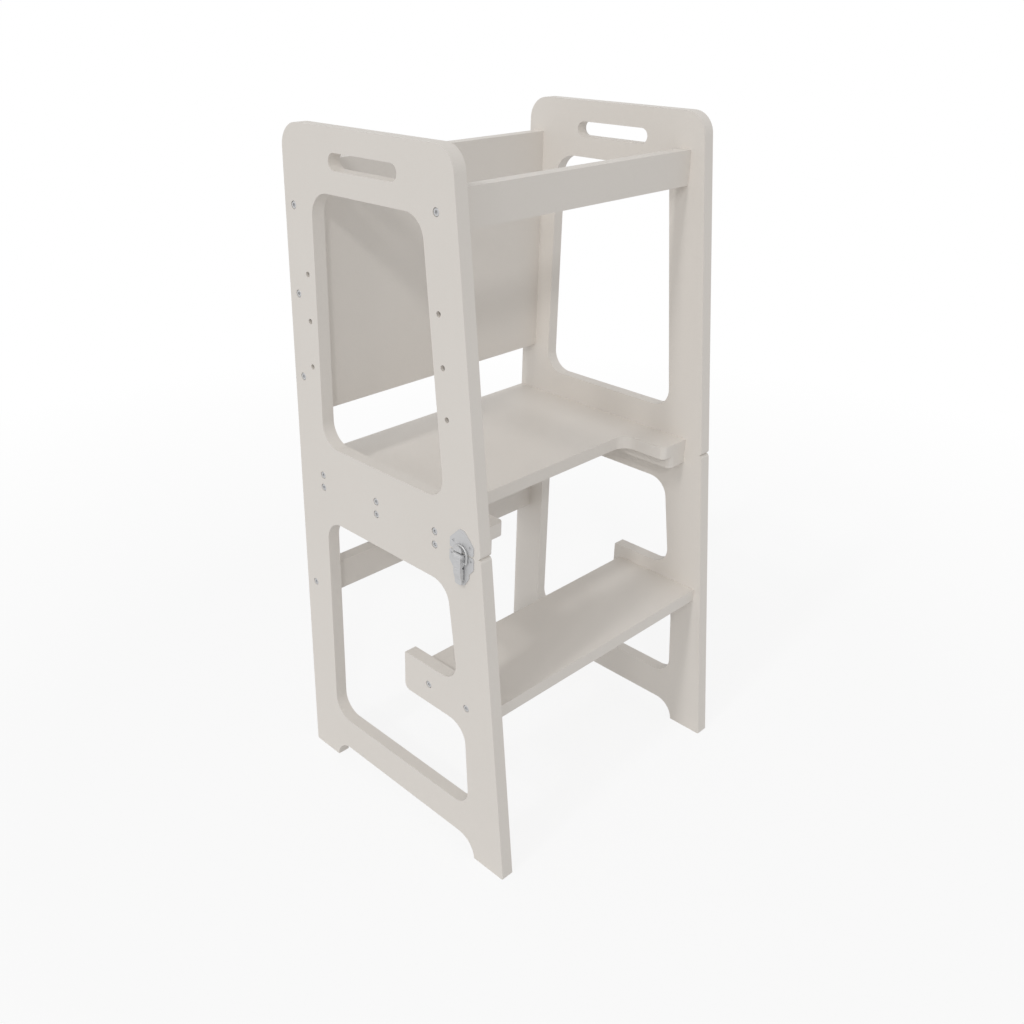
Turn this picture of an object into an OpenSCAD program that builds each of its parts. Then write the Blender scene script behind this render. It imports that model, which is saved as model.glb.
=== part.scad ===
// Toddler's kitchen helper stool: two open boxes, one on the other, hinged at the rear.
// Sizes are in millimetres. X runs across, Y from the step side to the rear, Z up.

/* [Overall] */
// Height of the closed stool
stool_height = 914.4; // [860:0.1:1000]
// Width over the two side panels
stool_width = 457.2; // [400:0.1:560]
// Depth of the side panels at the floor
base_depth = 398.8; // [380:0.1:440]
// How far the front edge leans back between floor and top
front_setback = 103.2; // [80:0.1:115]
// Height of the seam between the halves
seam_height = 457.2; // [450:0.1:480]
// Thickness of every board
board_thickness = 18; // [16:0.1:20]

/* [Side panels] */
// Radius of the top corners
top_corner_radius = 30; // [15:0.1:34]
// Radius of the front corners at the seam
seam_corner_radius = 5; // [2:0.1:8]
// Radius of the corners at the floor
foot_corner_radius = 2.5; // [1:0.1:5]
// Radius of the window corners
window_radius = 30; // [20:0.1:32]
// Smaller radius where the front stile meets a board below it
stile_radius = 25; // [15:0.1:28]
// Width of the rear stile
rear_stile = 53.7; // [45:0.1:62]
// Upper half: board left above the window
upper_head_band = 75.1; // [68:0.1:85]
// Upper half: board left below the window
upper_foot_band = 55.3; // [48:0.1:65]
// Upper half: front stile at the foot of the window
upper_stile_low = 55.8; // [50:0.1:62]
// Upper half: front stile at the head of the window
upper_stile_high = 54.9; // [50:0.1:62]
// Length of the handle slot
handle_length = 120; // [100:0.1:135]
// Height of the handle slot
handle_height = 20; // [16:0.1:26]
// Centre of the handle slot from the top
handle_drop = 37.5; // [33:0.1:42]
// Centre of the handle slot from the rear edge
handle_inset = 149.6; // [130:0.1:160]
// Lower half: board left above the window
lower_head_band = 55; // [48:0.1:60]
// Lower half: front stile at the head of the window
lower_stile_head = 63; // [56:0.1:70]
// Lower half: front stile on top of the arm
lower_stile_arm = 57.9; // [50:0.1:62]
// Lower half: front stile under the arm
lower_stile_under = 51.9; // [46:0.1:58]
// Lower half: front stile at the foot bar
lower_stile_foot = 56.8; // [50:0.1:62]
// Underside of the arm over the floor
arm_bottom = 207.2; // [190:0.1:215]
// Depth of the arm
arm_depth = 57.9; // [50:0.1:66]
// How far the arm reaches past the step's rear edge
arm_margin = 11.7; // [4:0.1:20]
// Radius of the arm's upper end corner
arm_top_radius = 2; // [1:0.1:6]
// Radius of the arm's lower end corner
arm_under_radius = 9; // [4:0.1:14]
// Height of the arch between the feet
arch_height = 28.65; // [24:0.05:28.95]
// Radius of the arch's corners
arch_radius = 30; // [29:0.1:36]
// Depth of the foot bar over the arch
foot_bar = 50; // [44:0.1:58]
// Length of the front foot on the floor
front_foot = 54; // [46:0.1:64]
// Length of the rear foot on the floor
rear_foot = 52.4; // [46:0.1:64]

/* [Accessory holes] */
// Diameter of the blind accessory holes
accessory_diameter = 7; // [5:0.1:8]
// Depth of the blind accessory holes
accessory_depth = 12; // [8:0.1:13]
// Pitch of the three holes in a column
accessory_pitch = 60; // [50:0.1:70]
// Front column from the front edge
accessory_front_inset = 39.9; // [30:0.1:46]
// Rear column from the rear edge
accessory_rear_inset = 38.6; // [32:0.1:42]

/* [Boards between the panels] */
// Front of the platform's horns behind the front edge at the seam
horn_inset = 28.4; // [24:0.1:34]
// Width of each horn
horn_width = 50; // [42:0.1:60]
// Depth of the recess between the horns
horn_reach = 70.4; // [60:0.1:80]
// Radius in the recess's rear corners
recess_radius = 20; // [10:0.1:30]
// Radius on the horns' inner front corners
horn_radius = 8; // [4:0.1:12]
// Width of the frame board's side legs
frame_leg_width = 33.6; // [30:0.1:38]
// Depth of the frame board's rear strip
frame_strip = 33.6; // [30:0.1:40]
// Gap between the seam and the back panel
back_gap = 90.3; // [80:0.1:110]
// Drop of the back panel and front rail from the top
back_drop = 46.9; // [44:0.1:54]
// Back panel from the rear edge
back_inset = 8; // [5:0.1:12]
// Height of the front top rail
front_rail_height = 45.3; // [38:0.1:54]
// Front top rail from the front edge at its mid height
front_rail_inset = 22.5; // [18:0.1:26]
// Height of the lower rear rail
rear_rail_height = 45; // [38:0.1:54]
// Underside of the lower rear rail over the floor
rear_rail_bottom = 266.3; // [250:0.1:280]
// Lower rear rail from the rear edge
rear_rail_inset = 9.4; // [6:0.1:14]
// Top of the step over the floor
step_top = 245.3; // [236:0.1:252]
// Depth of the step
step_depth = 139.1; // [120:0.1:150]
// Step's front edge behind the front edge at the step's mid height
step_inset = 11.4; // [8:0.1:20]

/* [Bolts] */
// Diameter of a bolt's head
bolt_head_diameter = 9.4; // [8.6:0.1:11]
// Height of a bolt's head
bolt_head_height = 3; // [2.4:0.1:3.6]
// Chamfer round the top of a bolt's head
bolt_head_chamfer = 0.6; // [0.3:0.1:1]
// Depth of the head's top below the panel's face
bolt_sink = 0.5; // [0.2:0.1:1]
// Gap round the head in its counterbore
bolt_head_gap = 0.4; // [0.2:0.1:0.8]
// Width across the flats of the hex socket
socket_flats = 4; // [3:0.1:5]
// Depth of the hex socket
socket_depth = 2; // [1.2:0.1:2.2]
// Diameter of a bolt's shank
bolt_diameter = 6; // [5:0.1:6.4]
// Length of a bolt over all
bolt_length = 40; // [36:0.1:42]
// Gap round the shank in the side panel
bolt_bore_gap = 0.2; // [0.1:0.1:0.5]
// Outer diameter of a threaded insert
insert_diameter = 9; // [8:0.1:9.6]
// Length of a threaded insert
insert_length = 15; // [12:0.1:16]
// Depth of the bore behind the insert, from the board's end
insert_bore_depth = 25; // [24.5:0.1:28]
// Back panel's end bolts from its upper and lower edges
back_bolt_margin = 50; // [30:0.1:70]
// Rear platform bolt from the rear edge
platform_bolt_rear = 48.8; // [42:0.1:60]
// Front platform bolt from the horns' front
platform_bolt_front = 50.5; // [46:0.1:60]
// Pitch of the step's two bolts
step_bolt_pitch = 69.7; // [50:0.1:90]
// Gap round a piece that is fitted and stays put
seat_gap = 0.05; // [0.02:0.01:0.1]

/* [Hinges] */
// Length of a hinge
hinge_length = 51.2; // [44:0.1:60]
// Centre of a hinge from the stool's middle
hinge_offset = 149.6; // [120:0.1:160]
// Thickness of a hinge leaf
leaf_thickness = 1.6; // [1.2:0.1:2]
// Height of a leaf from the seam
leaf_height = 16; // [14:0.1:16.5]
// Radius of the hinge barrel
barrel_radius = 3; // [2.8:0.1:3.4]
// Radius of the hinge pin
hinge_pin_radius = 1.3; // [1.1:0.05:1.5]
// Axis of the hinge behind the rear edge
hinge_axis_out = 0.5; // [0.4:0.1:0.8]
// Gap between two knuckles, and round a barrel
knuckle_gap = 0.3; // [0.2:0.05:0.5]
// Height of the leaf's screws from the seam
hinge_screw_rise = 9.5; // [8.8:0.1:10]
// Pitch of a leaf's two screws
hinge_screw_pitch = 25; // [20:0.1:30]
// Radial clearance of a pin that turns
running_gap = 0.05; // [0.02:0.01:0.1]

/* [Screws] */
// Diameter of a screw's flat head
screw_head_diameter = 6; // [5:0.1:6.4]
// Height of a screw's flat head
screw_head_height = 1.4; // [1:0.1:1.5]
// Diameter of a screw's shank
screw_diameter = 3; // [2.4:0.1:3.4]
// Length of a screw
screw_length = 14; // [10:0.1:15]
// Width of the cross recess's slots
cross_width = 0.8; // [0.6:0.1:1.2]
// Length of the cross recess's slots
cross_length = 3.4; // [2.4:0.1:4]
// Depth of the cross recess
cross_depth = 0.9; // [0.5:0.1:1.2]

/* [Draw latch] */
// Middle of the latch behind the front edge at the seam
latch_inset = 30.8; // [28:0.1:36]
// Thickness of the latch plates
plate_thickness = 1.5; // [1.2:0.1:1.6]
// Gap between each plate and the seam
plate_seam_gap = 1; // [0.6:0.1:2]
// Width of the catch plate
catch_width = 39.6; // [38:0.1:44]
// Height of the catch plate's square part, from the seam
catch_shoulder = 13.7; // [12.5:0.1:15]
// Top of the catch plate over the seam
catch_top = 29.6; // [27:0.1:33]
// Width of the catch plate's top
catch_top_width = 8; // [7:0.1:12]
// Pitch of the catch plate's screws
catch_screw_pitch = 28; // [26.5:0.1:29]
// Height of the catch plate's screws over the seam
catch_screw_rise = 11.4; // [10.5:0.1:12]
// Width of the base plate
keeper_width = 40.4; // [39.5:0.1:45]
// Foot of the base plate's square part, below the seam
keeper_shoulder = 16.4; // [15:0.1:18]
// Where the base plate's taper meets its tail
keeper_taper = 25; // [23:0.1:27]
// Width of the base plate's tail
keeper_tail_width = 26; // [24:0.1:30]
// Where the tail starts to narrow
keeper_tail_drop = 31; // [29:0.1:35]
// Foot of the base plate's tail
keeper_foot = 43; // [40:0.1:48]
// Width of the tail at its foot
keeper_foot_width = 10; // [8:0.1:14]
// Pitch of the base plate's screws
keeper_screw_pitch = 32; // [31:0.1:33]
// Depth of the base plate's screws below the seam
keeper_screw_drop = 6; // [5:0.1:8]
// Radius of the plates' corners at the seam and at the tail
plate_radius = 3; // [1:0.1:3.5]
// Radius of the plates' shoulders and of the catch plate's top
shoulder_radius = 5; // [2:0.1:6]
// Width of the lever over its flanges
lever_width = 11.5; // [11:0.1:12]
// Thickness of the lever's sheet
lever_sheet = 1.2; // [0.9:0.05:1.4]
// Gap between a flange and the ear beside it
ear_gap = 0.25; // [0.15:0.05:0.4]
// Thickness of the ears
ear_thickness = 1.2; // [1:0.1:1.4]
// Radius of the ears
ear_radius = 3.2; // [2.8:0.1:3.4]
// Lever's pivot out from the panel
pivot_out = 5.5; // [5.3:0.05:5.8]
// Lever's pivot below the seam
pivot_drop = 3; // [2.6:0.1:3.4]
// Radius of the lever round its pivot
lever_round = 3.4; // [3:0.1:3.5]
// Radius of the lever's pin
lever_pin_radius = 1.5; // [1.2:0.05:1.7]
// Height of the pin's heads
pin_head_height = 1; // [0.6:0.1:1.2]
// Radius of the pin's heads
pin_head_radius = 2.2; // [2:0.1:2.4]
// Underside of the flanges out from the panel
flange_out = 2; // [1.9:0.05:2.1]
// Underside of the flanges past the slit's start, out from the panel
heel_out = 3.2; // [2.8:0.1:3.6]
// Start of the slit under the flanges, below the pivot
slit_drop = 16; // [15.5:0.1:16.5]
// Middle of the round notch in the flanges, below the pivot
notch_drop = 15; // [14:0.1:16]
// Radius of the round notch
notch_radius = 2; // [1.4:0.1:2.2]
// First pressed line across the lever's face, below the pivot
line_drop = 4; // [3:0.1:6]
// Pitch of the two pressed lines
line_pitch = 11.6; // [9:0.1:13]
// Length of a pressed line
line_length = 7; // [5:0.1:9]
// Radius of the tool that pressed the lines
line_radius = 0.8; // [0.6:0.05:0.9]
// Depth of a pressed line
line_depth = 0.4; // [0.2:0.05:0.45]
// Where the lever's face starts to slope in, below the pivot
lever_bend = 23; // [20:0.1:27]
// End of the lever's flanges below the pivot
lever_reach = 31.8; // [30:0.1:34]
// Face of the lever out from the panel at the flanges' end
lever_end_out = 6.4; // [6.2:0.05:6.8]
// End of the finger lip below the pivot
lip_reach = 38; // [36:0.1:42]
// Diameter of the wire of the draw hook
wire_diameter = 2.4; // [2.1:0.05:2.5]
// Half width of the hook between wire centres
hook_radius = 11; // [10.8:0.1:11.3]
// Bend radius of the hook's lower corners
hook_bend = 2.4; // [2:0.1:2.6]
// Hook's bar out from the panel
bar_out = 3.9; // [3.8:0.05:4.1]
// Hook's bar below the pivot
bar_drop = 8; // [7.6:0.1:8.2]
// Top of the hook's wire centre out from the panel
hook_top_out = 3.6; // [3.5:0.05:3.8]
// Height of the hook between bar and top, along the wire's centre
hook_height = 21; // [20.8:0.1:21.3]
// Width of the catch tongue
tongue_width = 7; // [5.5:0.1:7.4]
// Thickness of the catch tongue
tongue_sheet = 1.2; // [1:0.05:1.3]
// Top face of the tongue's root over the seam
tongue_seat = 7.6; // [7:0.1:7.7]
// Inner face of the tongue's lip out from the panel
tongue_out = 7; // [6.9:0.05:7.2]
// Radius of the tongue's rounded lip
tongue_crown = 6.5; // [6:0.1:7]
// Lower edge of the tongue's lip over the seam
tongue_hem = 3.5; // [3:0.1:4.5]
// Top of the tongue's lip over the seam
tongue_top = 10.8; // [10.4:0.1:11.5]

/* [Hidden] */
$fn = 64;

// Every cut runs past the face that it opens by this much.
cut_over = 1;

// The hinge barrels stand behind the rear edge; the depth over them is centred on Y.
barrel_out = hinge_axis_out + barrel_radius;
front_foot_y = -(base_depth + barrel_out) / 2;
rear_y = front_foot_y + base_depth;
outer_x = stool_width / 2;
inner_x = outer_x - board_thickness;

function front_y(z) = front_foot_y + front_setback * z / stool_height;

platform_top = seam_height + board_thickness;
frame_bottom = seam_height - board_thickness;
window_rear_y = rear_y - rear_stile;
upper_window_low = seam_height + upper_foot_band;
upper_window_high = stool_height - upper_head_band;
lower_window_high = seam_height - lower_head_band;
foot_bar_top = arch_height + foot_bar;
arm_top = arm_bottom + arm_depth;

// The platform and the frame board share one front edge.
horn_y = front_y(seam_height) + horn_inset;
recess_y = horn_y + horn_reach;
horn_inner_x = inner_x - horn_width;
frame_inner_x = inner_x - frame_leg_width;
frame_strip_y = rear_y - frame_strip;

back_top = stool_height - back_drop;
back_bottom = seam_height + back_gap;
back_height = back_top - back_bottom;
back_mid = back_bottom + back_height / 2;
back_bolt_pitch = back_height / 2 - back_bolt_margin;
back_y = rear_y - back_inset - board_thickness;
front_rail_bottom = back_top - front_rail_height;
front_rail_mid = back_top - front_rail_height / 2;
front_rail_y = front_y(front_rail_mid) + front_rail_inset;
rear_rail_y = rear_y - rear_rail_inset - board_thickness;
step_mid = step_top - board_thickness / 2;
step_front_y = front_y(step_mid) + step_inset;
arm_end_y = step_front_y + step_depth + arm_margin;

// Places of the bolts on a side panel, as pairs of Y and Z.
platform_bolt_y = rear_y - platform_bolt_rear;
platform_bolt_pitch = (platform_bolt_y - horn_y - platform_bolt_front) / 2;
back_bolts = [for (k = [-1:1]) [back_y + board_thickness / 2, back_mid + k * back_bolt_pitch]];
front_rail_bolts = [[front_rail_y + board_thickness / 2, front_rail_mid]];
platform_bolts = [
  for (k = [0:2]) [platform_bolt_y - k * platform_bolt_pitch, seam_height + board_thickness / 2]
];
frame_bolts = [
  for (k = [0:2]) [platform_bolt_y - k * platform_bolt_pitch, seam_height - board_thickness / 2]
];
rear_rail_bolts = [
  [rear_rail_y + board_thickness / 2, rear_rail_bottom + rear_rail_height / 2]
];
step_bolts = [
  for (k = [-1:2:1]) [step_front_y + step_depth / 2 + k * step_bolt_pitch / 2, step_mid]
];

// Latch sizes that follow others.
latch_y = front_y(seam_height) + latch_inset;
wire_radius = wire_diameter / 2;
hook_tilt = asin((bar_out - hook_top_out) / hook_height);
lever_face_out = pivot_out + lever_round;
lever_half = lever_width / 2;
ear_inner = lever_half + ear_gap;
ear_outer = ear_inner + ear_thickness;
keeper_screws = [for (k = [-1:2:1]) [k * keeper_screw_pitch / 2, -keeper_screw_drop]];
catch_screws = [for (k = [-1:2:1]) [k * catch_screw_pitch / 2, catch_screw_rise]];

// Hinge sizes that follow others.
knuckle_count = 5;
knuckle_length = (hinge_length - (knuckle_count - 1) * knuckle_gap) / knuckle_count;
knuckle_pitch = knuckle_length + knuckle_gap;
hinge_start_x = -hinge_offset - hinge_length / 2;
hinge_axis_y = rear_y + hinge_axis_out;
hinge_screw_xs = [for (k = [-1:2:1]) -hinge_offset + k * hinge_screw_pitch / 2];

wood_colour = [0.82, 0.80, 0.76];
board_colour = [0.78, 0.76, 0.72];
steel_colour = [0.75, 0.76, 0.77];
brass_colour = [0.78, 0.68, 0.40];

// Helpers

function towards(a, b) = (b - a) / norm(b - a);

// A convex outline whose corners are rounded, each with its own radius.
module rounded_outline(points, radii) {
  n = len(points);
  back = [for (i = [0:n - 1]) towards(points[i], points[(i + n - 1) % n])];
  ahead = [for (i = [0:n - 1]) towards(points[i], points[(i + 1) % n])];
  half = [for (i = [0:n - 1]) acos(back[i] * ahead[i]) / 2];
  polygon([
    for (i = [0:n - 1])
      for (k = radii[i] > 0 ? [0, 1] : [0])
        points[i] + (k == 0 ? back[i] : ahead[i]) * radii[i] / tan(half[i])
  ]);
  for (i = [0:n - 1])
    if (radii[i] > 0)
      translate(points[i] + towards([0, 0], back[i] + ahead[i]) * radii[i] / sin(half[i]))
        circle(r = radii[i]);
}

// The sliver that rounds a convex corner: the corner is at the origin, the board at -X -Y.
module corner_sliver(radius) {
  difference() {
    translate([-radius, -radius]) square(radius + cut_over);
    translate([-radius, -radius]) circle(r = radius);
  }
}

// A profile drawn in Y and Z, pushed out along +X from x.
module along_x(x, length) {
  translate([x, 0, 0]) rotate([90, 0, 90]) linear_extrude(height = length) children();
}

// A profile drawn in X and Z, centred on Y.
module across_y(length) {
  translate([0, length / 2, 0]) rotate([90, 0, 0]) linear_extrude(height = length) children();
}

module block(low, high) {
  translate(low) cube(high - low);
}

// Everything on a side is drawn for the left and mirrored for the right.
module on_side(right) {
  if (right)
    mirror([1, 0, 0]) children();
  else
    children();
}

module both_sides() {
  on_side(false) children();
  on_side(true) children();
}

// Side panels

module bolt_holes(places) {
  head_hole = bolt_head_diameter / 2 + bolt_head_gap;
  seat_depth = bolt_sink + bolt_head_height;
  for (p = places) {
    translate([-outer_x - cut_over, p[0], p[1]]) rotate([0, 90, 0])
      cylinder(r = head_hole, h = seat_depth + cut_over);
    translate([-outer_x, p[0], p[1]]) rotate([0, 90, 0])
      cylinder(r = bolt_diameter / 2 + bolt_bore_gap, h = board_thickness + cut_over);
  }
}

module upper_window() {
  rounded_outline([
    [front_y(upper_window_low) + upper_stile_low, upper_window_low],
    [window_rear_y, upper_window_low],
    [window_rear_y, upper_window_high],
    [front_y(upper_window_high) + upper_stile_high, upper_window_high]
  ], [stile_radius, window_radius, window_radius, window_radius]);
}

module handle_slot() {
  straight = handle_length / 2 - handle_height / 2;
  translate([rear_y - handle_inset, stool_height - handle_drop]) {
    translate([-straight, -handle_height / 2]) square([2 * straight, handle_height]);
    for (k = [-1:2:1]) translate([k * straight, 0]) circle(d = handle_height);
  }
}

// The window goes round an arm that reaches back from the front stile.
module lower_window() {
  arm_cover_y = arm_end_y + stile_radius;
  rounded_outline([
    [arm_end_y, foot_bar_top],
    [window_rear_y, foot_bar_top],
    [window_rear_y, lower_window_high],
    [arm_end_y, lower_window_high]
  ], [0, window_radius, window_radius, 0]);
  rounded_outline([
    [front_y(arm_top) + lower_stile_arm, arm_top],
    [arm_cover_y, arm_top],
    [arm_cover_y, lower_window_high],
    [front_y(lower_window_high) + lower_stile_head, lower_window_high]
  ], [stile_radius, 0, 0, window_radius]);
  rounded_outline([
    [front_y(foot_bar_top) + lower_stile_foot, foot_bar_top],
    [arm_cover_y, foot_bar_top],
    [arm_cover_y, arm_bottom],
    [front_y(arm_bottom) + lower_stile_under, arm_bottom]
  ], [stile_radius, 0, 0, window_radius]);
  translate([arm_end_y, arm_top]) corner_sliver(arm_top_radius);
  translate([arm_end_y, arm_bottom]) mirror([0, 1]) corner_sliver(arm_under_radius);
}

module foot_arch() {
  centre_z = arch_height - arch_radius;
  reach = sqrt(pow(arch_radius, 2) - pow(centre_z, 2));
  front_c = front_foot_y + front_foot + reach;
  rear_c = rear_y - rear_foot - reach;
  translate([front_c, -cut_over]) square([rear_c - front_c, arch_height + cut_over]);
  for (y = [front_c, rear_c]) translate([y, centre_z]) circle(r = arch_radius);
}

module lower_side() {
  difference() {
    along_x(-outer_x, board_thickness)
      difference() {
        rounded_outline([
          [front_foot_y, 0],
          [rear_y, 0],
          [rear_y, seam_height],
          [front_y(seam_height), seam_height]
        ], [foot_corner_radius, foot_corner_radius, 0, seam_corner_radius]);
        lower_window();
        foot_arch();
      }
    bolt_holes(concat(frame_bolts, rear_rail_bolts, step_bolts));
    in_latch() screw_pilots(keeper_screws);
  }
}

module upper_side() {
  difference() {
    along_x(-outer_x, board_thickness)
      difference() {
        rounded_outline([
          [front_y(seam_height), seam_height],
          [rear_y, seam_height],
          [rear_y, stool_height],
          [front_y(stool_height), stool_height]
        ], [seam_corner_radius, 0, top_corner_radius, top_corner_radius]);
        upper_window();
        handle_slot();
      }
    bolt_holes(concat(platform_bolts, back_bolts, front_rail_bolts));
    accessory_holes();
    in_latch() screw_pilots(catch_screws);
  }
}

// Two columns of blind holes, one beside each stile's edge.
module accessory_holes() {
  for (k = [-1:1]) {
    z = (upper_window_low + upper_window_high) / 2 + k * accessory_pitch;
    for (y = [front_y(z) + accessory_front_inset, rear_y - accessory_rear_inset])
      translate([-outer_x - cut_over, y, z]) rotate([0, 90, 0])
        cylinder(d = accessory_diameter, h = accessory_depth + cut_over);
  }
}

// Boards between the panels

// Bore for a threaded insert in the end of a board, with room for the bolt's tip.
module insert_bores(places) {
  both_sides()
    for (p = places)
      translate([-inner_x, p[0], p[1]]) rotate([0, 90, 0]) {
        translate([0, 0, -cut_over])
          cylinder(r = insert_diameter / 2 + seat_gap, h = insert_length + cut_over);
        cylinder(r = bolt_diameter / 2 + bolt_bore_gap, h = insert_bore_depth);
      }
}

module horn_outline() {
  difference() {
    translate([-inner_x, horn_y]) square([2 * inner_x, rear_y - horn_y]);
    rounded_outline([
      [-horn_inner_x, horn_y - cut_over],
      [horn_inner_x, horn_y - cut_over],
      [horn_inner_x, recess_y],
      [-horn_inner_x, recess_y]
    ], [0, 0, recess_radius, recess_radius]);
    for (k = [0, 1]) mirror([k, 0]) leg_corner(horn_inner_x);
  }
}

module frame_outline() {
  difference() {
    translate([-inner_x, horn_y]) square([2 * inner_x, rear_y - horn_y]);
    rounded_outline([
      [-frame_inner_x, horn_y - cut_over],
      [frame_inner_x, horn_y - cut_over],
      [frame_inner_x, frame_strip_y],
      [-frame_inner_x, frame_strip_y]
    ], [0, 0, window_radius, window_radius]);
    for (k = [0, 1]) mirror([k, 0]) leg_corner(frame_inner_x);
  }
}

// Rounds the inner front corner of a horn or a leg on the left.
module leg_corner(x) {
  translate([-x, horn_y]) mirror([0, 1]) corner_sliver(horn_radius);
}

module platform() {
  color(board_colour)
    difference() {
      translate([0, 0, seam_height]) linear_extrude(height = board_thickness) horn_outline();
      insert_bores(platform_bolts);
      hinge_seats();
      hinge_screws_at(1, true);
    }
}

module lower_frame_board() {
  color(board_colour)
    difference() {
      translate([0, 0, frame_bottom]) linear_extrude(height = board_thickness) frame_outline();
      insert_bores(frame_bolts);
      hinge_seats();
      hinge_screws_at(-1, true);
    }
}

module back_panel() {
  color(wood_colour)
    difference() {
      block([-inner_x, back_y, back_bottom], [inner_x, back_y + board_thickness, back_top]);
      insert_bores(back_bolts);
    }
}

module front_top_rail() {
  color(wood_colour)
    difference() {
      block([-inner_x, front_rail_y, front_rail_bottom],
            [inner_x, front_rail_y + board_thickness, back_top]);
      insert_bores(front_rail_bolts);
    }
}

module lower_rear_rail() {
  color(wood_colour)
    difference() {
      block([-inner_x, rear_rail_y, rear_rail_bottom],
            [inner_x, rear_rail_y + board_thickness, rear_rail_bottom + rear_rail_height]);
      insert_bores(rear_rail_bolts);
    }
}

module step_board() {
  color(board_colour)
    difference() {
      block([-inner_x, step_front_y, step_top - board_thickness],
            [inner_x, step_front_y + step_depth, step_top]);
      insert_bores(step_bolts);
    }
}

// Fasteners

module bolts(places) {
  color(steel_colour)
    both_sides()
      for (p = places)
        translate([-outer_x + bolt_sink, p[0], p[1]]) rotate([0, 90, 0])
          difference() {
            union() {
              cylinder(d1 = bolt_head_diameter - 2 * bolt_head_chamfer, d2 = bolt_head_diameter,
                       h = bolt_head_chamfer);
              translate([0, 0, bolt_head_chamfer])
                cylinder(d = bolt_head_diameter, h = bolt_head_height - bolt_head_chamfer);
              cylinder(d = bolt_diameter, h = bolt_length);
            }
            translate([0, 0, -cut_over])
              cylinder(d = socket_flats / cos(30), h = socket_depth + cut_over, $fn = 6);
          }
}

module inserts(places) {
  color(brass_colour)
    both_sides()
      for (p = places)
        translate([-inner_x, p[0], p[1]]) rotate([0, 90, 0])
          difference() {
            cylinder(d = insert_diameter, h = insert_length);
            translate([0, 0, -cut_over])
              cylinder(r = bolt_diameter / 2 + seat_gap, h = insert_length + 2 * cut_over);
          }
}

// A flat-head screw along +Z, its head's face at the origin.
module screw() {
  difference() {
    union() {
      cylinder(d1 = screw_head_diameter, d2 = screw_diameter, h = screw_head_height);
      cylinder(d = screw_diameter, h = screw_length);
    }
    for (turn = [0, 90])
      rotate([0, 0, turn])
        block([-cross_length / 2, -cross_width / 2, -cut_over],
              [cross_length / 2, cross_width / 2, cross_depth]);
  }
}

// The same screw's hole, with its countersink.
module screw_hole() {
  head = screw_head_diameter / 2 + seat_gap;
  shank = screw_diameter / 2 + seat_gap;
  translate([0, 0, -cut_over]) cylinder(r = head, h = cut_over);
  cylinder(r1 = head, r2 = shank, h = screw_head_height);
  cylinder(r = shank, h = screw_length);
}

// Hinges

// Leaf mortises and barrel groove, shared by the boards above and below the seam.
module hinge_seats() {
  both_sides() {
    block([hinge_start_x - knuckle_gap, rear_y - leaf_thickness, seam_height - leaf_height],
          [hinge_start_x + hinge_length + knuckle_gap, rear_y + cut_over,
           seam_height + leaf_height]);
    translate([hinge_start_x - knuckle_gap, hinge_axis_y, seam_height]) rotate([0, 90, 0])
      cylinder(r = barrel_radius + knuckle_gap, h = hinge_length + 2 * knuckle_gap);
  }
}

// up is 1 for the leaf on the upper half and -1 for the one below the seam.
module hinge_leaf(up) {
  own = up > 0 ? [1, 3] : [0, 2, 4];
  other = up > 0 ? [0, 2, 4] : [1, 3];
  difference() {
    union() {
      translate([0, 0, seam_height]) mirror([0, 0, up > 0 ? 0 : 1])
        block([hinge_start_x, rear_y - leaf_thickness, 0],
              [hinge_start_x + hinge_length, rear_y, leaf_height]);
      for (k = own)
        translate([hinge_start_x + k * knuckle_pitch, hinge_axis_y, seam_height])
          rotate([0, 90, 0]) cylinder(r = barrel_radius, h = knuckle_length);
    }
    for (k = other)
      translate([hinge_start_x + k * knuckle_pitch - knuckle_gap, hinge_axis_y, seam_height])
        rotate([0, 90, 0])
          cylinder(r = barrel_radius + knuckle_gap, h = knuckle_length + 2 * knuckle_gap);
    translate([hinge_start_x - cut_over, hinge_axis_y, seam_height]) rotate([0, 90, 0])
      cylinder(r = hinge_pin_radius + running_gap, h = hinge_length + 2 * cut_over);
    hinge_screws_at(up, true);
  }
}

module hinge_screws_at(up, hole) {
  both_sides()
    for (x = hinge_screw_xs)
      translate([x, rear_y, seam_height + up * hinge_screw_rise]) rotate([90, 0, 0])
        if (hole)
          screw_hole();
        else
          screw();
}

module hinge_leaves_upper() {
  color(steel_colour) both_sides() hinge_leaf(1);
}

module hinge_leaves_lower() {
  color(steel_colour) both_sides() hinge_leaf(-1);
}

module hinge_pins() {
  color(steel_colour)
    both_sides()
      translate([hinge_start_x, hinge_axis_y, seam_height]) rotate([0, 90, 0])
        cylinder(r = hinge_pin_radius, h = hinge_length);
}

module hinge_screws_upper() {
  color(steel_colour) hinge_screws_at(1, false);
}

module hinge_screws_lower() {
  color(steel_colour) hinge_screws_at(-1, false);
}

// Draw latch. Its own frame has X out from the panel, Y along it and Z up from the seam.

module in_latch() {
  translate([-outer_x, latch_y, seam_height]) mirror([1, 0, 0]) children();
}

module at_pivot() {
  translate([pivot_out, 0, -pivot_drop]) children();
}

module screw_pilots(places) {
  for (p = places)
    translate([plate_thickness, p[0], p[1]]) rotate([0, -90, 0]) screw_hole();
}

module latch_screws(places) {
  color(steel_colour)
    both_sides()
      in_latch()
        for (p = places)
          translate([plate_thickness, p[0], p[1]]) rotate([0, -90, 0]) screw();
}

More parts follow.
